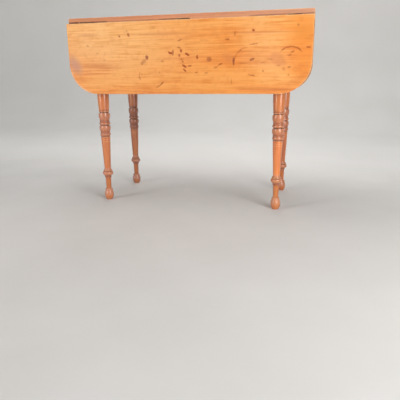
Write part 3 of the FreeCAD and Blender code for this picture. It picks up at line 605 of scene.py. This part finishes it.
def front_edge(tree, grain, colour, rough):
    """The top board's front edge: a cast along it, and a painted shadow at its foot, heaviest at the left
    end.
    """
    along = part_of(tree, grain["place"], "X")
    stretches = []
    for start, end, strength in SEAM_SHADOW:
        begun = span(tree, along, start - SEAM_BLUR, start + SEAM_BLUR, 0.0, strength)
        stretches.append(times(tree, begun, span(tree, along, end + SEAM_BLUR, end - SEAM_BLUR)))
    # painted shadow at the foot of the edge
    seam_shadow = times(tree, heaviest(tree, stretches), span(tree, grain["cloud"], *SEAM_PATCHES))
    height = part_of(tree, grain["place"], "Z")
    seam_shadow = times(tree, seam_shadow, span(tree, height, SEAM_TOP, SEAM_TOP - SEAM_FADE))
    cast = ramp(tree, span(tree, along, -STRIP_REACH, STRIP_REACH), STRIP_CASTS)
    colour = blend(tree, facing(tree, grain["normal"], OUTWARD), colour, cast, "MULTIPLY")
    colour = blend(tree, seam_shadow, colour, SEAM_SHADOW_TONE)
    return colour, reckon(tree, "ADD", rough, times(tree, seam_shadow, SEAM_ROUGHNESS))


# Legs: stretches of their height as low, high and fade in mm
LEG_RINGS = (268, 374, 4)
LEG_SHAFT = (136, 268, 4)
LEG_COLLAR = (100, 136, 3)
LEG_ANKLE = (50, 100, 3)
LEG_FOOT = (20, 50, 6)
LEG_TONES_AND_SHEEN = (
    # stretches, share, colour
    # pinker rings, collar and foot: partly the wood's tone, partly a painted sheen on their rounded faces
    ((LEG_RINGS,), 0.70, shade(205, 135, 103)),
    ((LEG_COLLAR, LEG_FOOT), 0.70, shade(213, 146, 114)),
    ((LEG_ANKLE,), 0.60, shade(204, 115, 46)),
)
HOLLOW_SHADE_BANDS = (
    # stretch and strength: painted shade in the hollows and creases of a leg, in the drums' lower halves,
    # under its collar and at its foot
    ((374.0, 378.0, 2.5), 0.50),
    ((327.0, 337.0, 5.0), 0.75),
    ((284.0, 292.0, 5.0), 0.75),
    ((269.0, 274.0, 3.0), 0.60),
    ((118.5, 134.0, 3.0), 0.12),
    ((95.0, 106.0, 4.0), 0.85),
    ((-10.0, 12.0, 10.0), 0.55),
)
HOLLOW_SHADE_PATCHES = (0.2, 0.6, 0.8, 1.0)
HOLLOW_SHADE_TONE = shade(198, 160, 138)
LEG_SCRATCHES = ((247.8, 249.2, 0.6), (255.6, 256.8, 0.6))
SCRATCH_CAST = (0.45, shade(248, 190, 140))
SCUFF_REACH = (16 * MM, 4 * MM)
SCUFF_PATCHES = (0.4, 0.6)
SCUFF_ROUGHNESS = 0.2
SCUFF_CAST = (0.35, shade(222, 180, 140))
LEG_TONE_AND_LIGHT_CASTS = {
    # what each leg's colour is multiplied by: the whole leg, its rings, its shaft; partly the leg's own
    # hue, partly painted light and shade, darker on the rear left leg and brighter on the front right shaft
    "front_left_leg": (shade(248, 243, 240), shade(252, 252, 252), shade(254, 250, 246)),
    "front_right_leg": (shade(254, 250, 232), shade(255, 251, 248), shade(274, 263, 252)),
    "rear_left_leg": (shade(218, 213, 215), shade(230, 220, 212), shade(255, 255, 255)),
    "rear_right_leg": (shade(238, 224, 206), shade(250, 248, 246), shade(252, 248, 236)),
}


def leg_layers(whole_cast, rings_cast, shaft_cast):
    """A leg's layers: pinker rings, collar and foot, partly their tone and partly painted sheen; its own
    casts, partly painted light and shade; painted shade in its hollows; scratches and scuffs.
    """

    def layers(tree, grain, colour, rough):
        height = part_of(tree, grain["place"], "Z")

        def stretch(low, high, fade):
            begun = span(tree, height, (low - fade) * MM, (low + fade) * MM)
            return times(tree, begun, span(tree, height, (high + fade) * MM, (high - fade) * MM))

        for stretches, share, other in LEG_TONES_AND_SHEEN:
            mask = heaviest(tree, [stretch(*limits) for limits in stretches])
            colour = tint(tree, colour, mask, share, other)
        # casts: partly each leg's hue, partly painted light and shade
        colour = blend(tree, 1.0, colour, whole_cast, "MULTIPLY")
        colour = blend(tree, stretch(*LEG_RINGS), colour, rings_cast, "MULTIPLY")
        colour = blend(tree, stretch(*LEG_SHAFT), colour, shaft_cast, "MULTIPLY")
        # painted shade in the hollows, creases and downward faces
        bands = [times(tree, stretch(*limits), strength) for limits, strength in HOLLOW_SHADE_BANDS]
        hollow_shade = times(tree, heaviest(tree, bands), span(tree, grain["smudge"], *HOLLOW_SHADE_PATCHES))
        colour = blend(tree, hollow_shade, colour, HOLLOW_SHADE_TONE, "MULTIPLY")
        scratched = heaviest(tree, [stretch(*limits) for limits in LEG_SCRATCHES])
        colour = tint(tree, colour, scratched, *SCRATCH_CAST)
        scuffed = times(tree, span(tree, height, *SCUFF_REACH), span(tree, grain["smudge"], *SCUFF_PATCHES))
        colour = tint(tree, colour, scuffed, *SCUFF_CAST)
        return colour, reckon(tree, "ADD", rough, times(tree, scuffed, SCUFF_ROUGHNESS))

    return layers


# Iron
SCALE_TONE = shade(66, 60, 56)
RUST_TONE = shade(104, 66, 44)
GRIT_TONE = shade(46, 38, 34)
RUBBED_TONE = shade(142, 134, 126)
RUST_NOISE = (160.0, 5.0, 0.65)
RUST_EDGE = (0.42, 0.66)
RUST_METAL = (0.9, 0.35)
GRIT_NOISE = (900.0, 3.0)
GRIT_PATCHES = (0.35, 0.7, 0.0, 0.4)
GRIT_DEPTH = 0.15 * MM
GRIT_RELIEF = 0.3
RUBBED_REACH = 0.8 * MM
RUBBED_EDGE = (0.9, 0.5, 0.0, 0.5)
IRON_ROUGHNESS = 0.34
RUST_ROUGHNESS = 0.25
GRIT_ROUGHNESS = 0.15


def iron(name):
    """Old hinge iron: dark scale with brown rust and rubbed edges."""
    material, tree, shader = new_material(name)
    place = add(tree, "TexCoord").outputs["Object"]
    rust = span(tree, noise(tree, place, *RUST_NOISE), *RUST_EDGE)
    grit = noise(tree, place, *GRIT_NOISE)
    colour = blend(tree, rust, SCALE_TONE, RUST_TONE)
    colour = blend(tree, span(tree, grit, *GRIT_PATCHES), colour, GRIT_TONE)
    rubbed = span(tree, openness(tree, RUBBED_REACH, True), *RUBBED_EDGE)
    colour = blend(tree, rubbed, colour, RUBBED_TONE)
    rough = weighted(tree, [(rust, RUST_ROUGHNESS), (grit, GRIT_ROUGHNESS)])
    rough = reckon(tree, "ADD", rough, IRON_ROUGHNESS)
    bump = add(tree, "Bump", {"Strength": GRIT_RELIEF, "Distance": GRIT_DEPTH, "Height": grit})
    tree.links.new(colour, shader.inputs["Base Color"])
    tree.links.new(rough, shader.inputs["Roughness"])
    tree.links.new(span(tree, rust, 0.0, 1.0, *RUST_METAL), shader.inputs["Metallic"])
    tree.links.new(bump.outputs["Normal"], shader.inputs["Normal"])
    return material


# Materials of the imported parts
def both(pattern):
    """The front and the rear name of a pair."""
    return [pattern.format(side) for side in SIDES]


LEG_HEART = (0.06, -0.03, 0.0)
BOARDS = (
    # part, heart, look, side that stays bare, rim, own layers before and after those of a board
    ("top_board", (0.0, -0.03, 0.640), TOP, (0, 0, -1), TOP_RIM, None, front_edge),
    ("front_leaf", (0.02, -0.10, 0.585), LEAF, (0, 1, 0), LEAF_RIM_HIGHLIGHT, leaf_stains, None),
    ("rear_leaf", (-0.03, 0.11, 0.560), LEAF, (0, -1, 0), LEAF_RIM_HIGHLIGHT, None, None),
)
END_PARTS = ["plain_end_rail", "upper_drawer_rail", "lower_drawer_rail", "drawer_front"]
TURNED_PARTS = ["drawer_knob", "joint_pegs"]
FLY_PARTS = both("{}_fly_block") + both("{}_left_fly") + both("{}_right_fly")
LONG_PARTS = both("{}_inner_rail") + both("{}_drawer_kicker") + both("{}_drawer_runner")
LONG_PARTS += both("{}_drawer_stop") + both("{}_drawer_side")
CROSS_PARTS = ["end_glue_block", "drawer_bottom", "drawer_back"]
METAL_PARTS = ["fly_pins", "top_screws"]
FRAME_WOODS = (
    # material, grain axis, heart, tones, look, parts
    ("end_rail_wood", "Y", (0.0, 0.0, 0.50), FRAME_TONES, POLISHED, END_PARTS),
    ("knob_wood", "X", (0.0, 0.03, 0.66), FRAME_TONES, TURNED, TURNED_PARTS),
    ("fly_wood", "X", (0.0, 0.0, 0.50), FLY_TONES, BARE, FLY_PARTS),
    ("inner_long_wood", "X", (0.0, 0.0, 0.48), INNER_TONES, BARE, LONG_PARTS),
    ("inner_cross_wood", "Y", (0.0, 0.0, 0.40), INNER_TONES, BARE, CROSS_PARTS),
)


def dress(material, names):
    """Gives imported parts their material."""
    for name in names:
        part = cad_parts[name]
        part.data.materials.clear()
        part.data.materials.append(material)


def dress_parts(metal):
    """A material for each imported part."""
    for part, heart, look, raw_side, rim_stops, before, after in BOARDS:
        layers = board_layers(raw_side, rim_stops, before, after)
        dress(wood(part + "_wood", "X", heart, TOP_TONES, look, layers), [part])
    for leg, casts in LEG_TONE_AND_LIGHT_CASTS.items():
        dress(wood(leg + "_wood", "Z", LEG_HEART, FRAME_TONES, TURNED, leg_layers(*casts)), [leg])
    for name, axis, heart, tones, look, parts in FRAME_WOODS:
        dress(wood(name, axis, heart, tones, look), parts)
    dress(metal, METAL_PARTS)
    for where in HINGE_PLACES:
        for piece in ("top_plate", "leaf_plate", "pin"):
            dress(metal, both("{}_" + f"{where}_hinge_{piece}"))


# Screws of the hinge plates
SCREW_RADIUS = 3.3 * MM
SCREW_PROUD = 0.35 * MM
SCREW_SUNK = 0.2 * MM
SCREW_CURVE = ((0.0, 1.0), (0.55, 0.97), (0.85, 0.80), (0.97, 0.45), (1.0, 0.0))
SCREW_SIDES = 28
SCREW_PLACES = ((-15 * MM, 12 * MM), (15 * MM, 12 * MM), (0.0, 22 * MM))
SLOT_SIZE = (3 * SCREW_RADIUS, 0.9 * MM, 2 * SCREW_PROUD)
SLOT_LIFT = 1.08 * SCREW_PROUD
SLOT_TURN = math.radians(37)
MERGE_REACH = 0.01 * MM


def new_object(name, mesh):
    """A linked object."""
    made = bpy.data.objects.new(name, mesh)
    bpy.context.scene.collection.objects.link(made)
    return made


def new_mesh(name, shell):
    """A mesh from a shell, which is freed."""
    mesh = bpy.data.meshes.new(name)
    shell.to_mesh(mesh)
    shell.free()
    return mesh


def slotted_head():
    """One screw head with its slot, facing up on the origin."""
    profile = [(SCREW_RADIUS * away, SCREW_PROUD * high) for away, high in SCREW_CURVE]
    profile += [(SCREW_RADIUS, -SCREW_SUNK), (0.0, -SCREW_SUNK)]
    shell = bmesh.new()
    points = [shell.verts.new((away, 0.0, high)) for away, high in profile]
    lines = [shell.edges.new(pair) for pair in zip(points, points[1:])]
    turn = {"axis": (0, 0, 1), "cent": (0, 0, 0), "angle": 2 * math.pi, "steps": SCREW_SIDES}
    bmesh.ops.spin(shell, geom=points + lines, **turn)
    bmesh.ops.remove_doubles(shell, verts=shell.verts, dist=MERGE_REACH)
    bmesh.ops.recalc_face_normals(shell, faces=shell.faces)
    head = new_object("screw_head", new_mesh("screw_head", shell))

    cut = bmesh.new()
    bmesh.ops.create_cube(cut, size=1.0, matrix=Matrix.Diagonal((*SLOT_SIZE, 1.0)))
    bmesh.ops.translate(cut, verts=cut.verts, vec=(0.0, 0.0, SLOT_LIFT))
    slot = new_object("screw_slot", new_mesh("screw_slot", cut))

    change = head.modifiers.new("slot", "BOOLEAN")
    change.object = slot
    slotted = head.evaluated_get(bpy.context.evaluated_depsgraph_get())
    made = bpy.data.meshes.new_from_object(slotted)
    bpy.data.objects.remove(head)
    bpy.data.objects.remove(slot)
    return made


def add_screws(metal):
    """Three screws in each hinge plate, one piece for each body that carries plates."""
    head = slotted_head()
    groups = {"frame": bmesh.new(), "front_leaf": bmesh.new(), "rear_leaf": bmesh.new()}
    count = 0
    for side, outward in zip(SIDES, (-1, 1)):
        for where in HINGE_PLACES:
            low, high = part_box(f"{side}_{where}_hinge_pin")
            pin = (low + high) / 2
            for along, away in SCREW_PLACES:
                under_top = pin + Vector((along, -outward * away, 0.0))
                on_inside = pin + Vector((along, 0.0, -away))
                for body, spot, up in (
                    ("frame", under_top, Vector((0, 0, -1))),
                    (f"{side}_leaf", on_inside, Vector((0, -outward, 0))),
                ):
                    turn = up.to_track_quat("Z", "X").to_matrix().to_4x4()
                    slot_turn = Matrix.Rotation(SLOT_TURN * count, 4, "Z")
                    copy = head.copy()
                    copy.transform(Matrix.Translation(spot) @ turn @ slot_turn)
                    groups[body].from_mesh(copy)
                    bpy.data.meshes.remove(copy)
                    count += 1
    for body, shell in groups.items():
        mesh = new_mesh(f"{body}_hinge_screws", shell)
        mesh.materials.append(metal)
        screws = new_object(f"{body}_hinge_screws", mesh)
        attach(screws, body)


# Floor and wall in one sweep, with a glow that the camera and the polish see but that lights nothing
FLOOR_FRONT = -20.0
WALL_PLACE = 3.4
WALL_TOP = 5.0
SWEEP_RADIUS = 1.2
SWEEP_STEPS = 24
STAGE_HALF_WIDTH = 20.0
FLOOR_STOPS = ((0.3, shade(226, 224, 220)), (0.7, shade(232, 230, 227)))
FLOOR_NOISE = (3.0, 4.0)
FLOOR_ROUGHNESS = 0.85
FLOOR_SHEEN = 0.2
WALL_GLOW = 0.36
GLOW_REACH = (-0.3, 1.1)
EDGE_GLOW = 0.22
EDGE_REACH = (1.8, 4.5)


def seen_directly(tree):
    """1 for what the camera sees, in a gloss or through glass too, and 0 for what only lights the table."""
    ray = add(tree, "LightPath").outputs
    seen = reckon(tree, "MAXIMUM", ray["Is Camera Ray"], ray["Is Glossy Ray"])
    return reckon(tree, "MAXIMUM", seen, ray["Is Transmission Ray"])


def pale_floor():
    """A pale, slightly mottled floor that looks lighter towards the wall and far from the table."""
    material, tree, shader = new_material("pale_floor")
    place = add(tree, "TexCoord").outputs["Object"]
    colour = ramp(tree, noise(tree, place, *FLOOR_NOISE), FLOOR_STOPS)
    glow = heaviest(tree, [
        span(tree, part_of(tree, place, "Y"), *GLOW_REACH, 0.0, WALL_GLOW),
        span(tree, measure(tree, "LENGTH", place), *EDGE_REACH, 0.0, EDGE_GLOW),
    ])
    tree.links.new(colour, shader.inputs["Base Color"])
    tree.links.new(colour, shader.inputs["Emission Color"])
    tree.links.new(times(tree, glow, seen_directly(tree)), shader.inputs["Emission Strength"])
    shader.inputs["Roughness"].default_value = FLOOR_ROUGHNESS
    shader.inputs["Specular IOR Level"].default_value = FLOOR_SHEEN
    return material


def add_stage():
    """A pale floor that curves up into a wall behind the table."""
    line = [(FLOOR_FRONT, 0.0)]
    for step in range(SWEEP_STEPS + 1):
        turn = math.pi / 2 * step / SWEEP_STEPS
        back = WALL_PLACE - SWEEP_RADIUS + SWEEP_RADIUS * math.sin(turn)
        line.append((back, SWEEP_RADIUS * (1 - math.cos(turn))))
    line.append((WALL_PLACE, WALL_TOP))
    shell = bmesh.new()
    rows = []
    for back, high in line:
        rows.append([shell.verts.new((side * STAGE_HALF_WIDTH, back, high)) for side in (-1, 1)])
    for near, far in zip(rows, rows[1:]):
        shell.faces.new((near[0], near[1], far[1], far[0])).smooth = True
    mesh = new_mesh("floor_sweep", shell)
    mesh.materials.append(pale_floor())
    new_object("floor_sweep", mesh)


# Light: an even sky, a box overhead, one behind, and two tall ones in front that the polish mirrors
SKY_STRENGTH = 0.14
SKY_SEEN = 0.30
SOFT_BOXES = (
    # name, place, aim, width, height, watts
    ("right_window", (1.62, -1.75, 1.05), (0.0, -0.1, 0.45), 1.0, 1.9, 37.8),
    ("left_window", (-1.60, -1.80, 0.80), (0.0, -0.1, 0.40), 0.6, 1.4, 16.8),
    ("top_box", (-0.2, -0.2, 2.60), (0.0, 0.0, 0.60), 1.6, 1.2, 13.0),
    ("back_box", (-0.3, 2.20, 2.00), (0.0, 0.1, 0.50), 1.8, 1.0, 14.0),
)


def add_light():
    """An even sky, seen paler than it lights, and the soft boxes."""
    world = bpy.data.worlds.new("studio_sky")
    world.use_nodes = True
    tree = world.node_tree
    sky = tree.nodes["Background"]
    sky.inputs["Color"].default_value = (1.0, 1.0, 1.0, 1.0)
    strength = span(tree, seen_directly(tree), 0.0, 1.0, SKY_STRENGTH, SKY_SEEN)
    tree.links.new(strength, sky.inputs["Strength"])
    bpy.context.scene.world = world
    for name, place, aim, width, height, watts in SOFT_BOXES:
        lamp = bpy.data.lights.new(name, "AREA")
        lamp.shape = "RECTANGLE"
        lamp.size = width
        lamp.size_y = height
        lamp.energy = watts
        holder = new_object(name, lamp)
        holder.location = place
        holder.rotation_euler = (Vector(aim) - Vector(place)).to_track_quat("-Z", "Y").to_euler()


def add_camera():
    """The photograph's camera."""
    right, up, forward = camera_axes()
    lens = bpy.data.cameras.new("photo_camera")
    lens.sensor_fit = "HORIZONTAL"
    lens.sensor_width = SENSOR_WIDTH
    lens.lens = FOCAL_PIXELS * SENSOR_WIDTH / PICTURE_SIDE
    camera = new_object("photo_camera", lens)
    turn = Matrix((right, up, -forward)).transposed()
    camera.matrix_world = Matrix.Translation(CAMERA_PLACE) @ turn.to_4x4()
    bpy.context.scene.camera = camera


hinge_iron = iron("hinge_iron")
dress_parts(hinge_iron)
add_screws(hinge_iron)
add_stage()
add_light()
add_camera()
bpy.context.scene.view_settings.view_transform = "Standard"
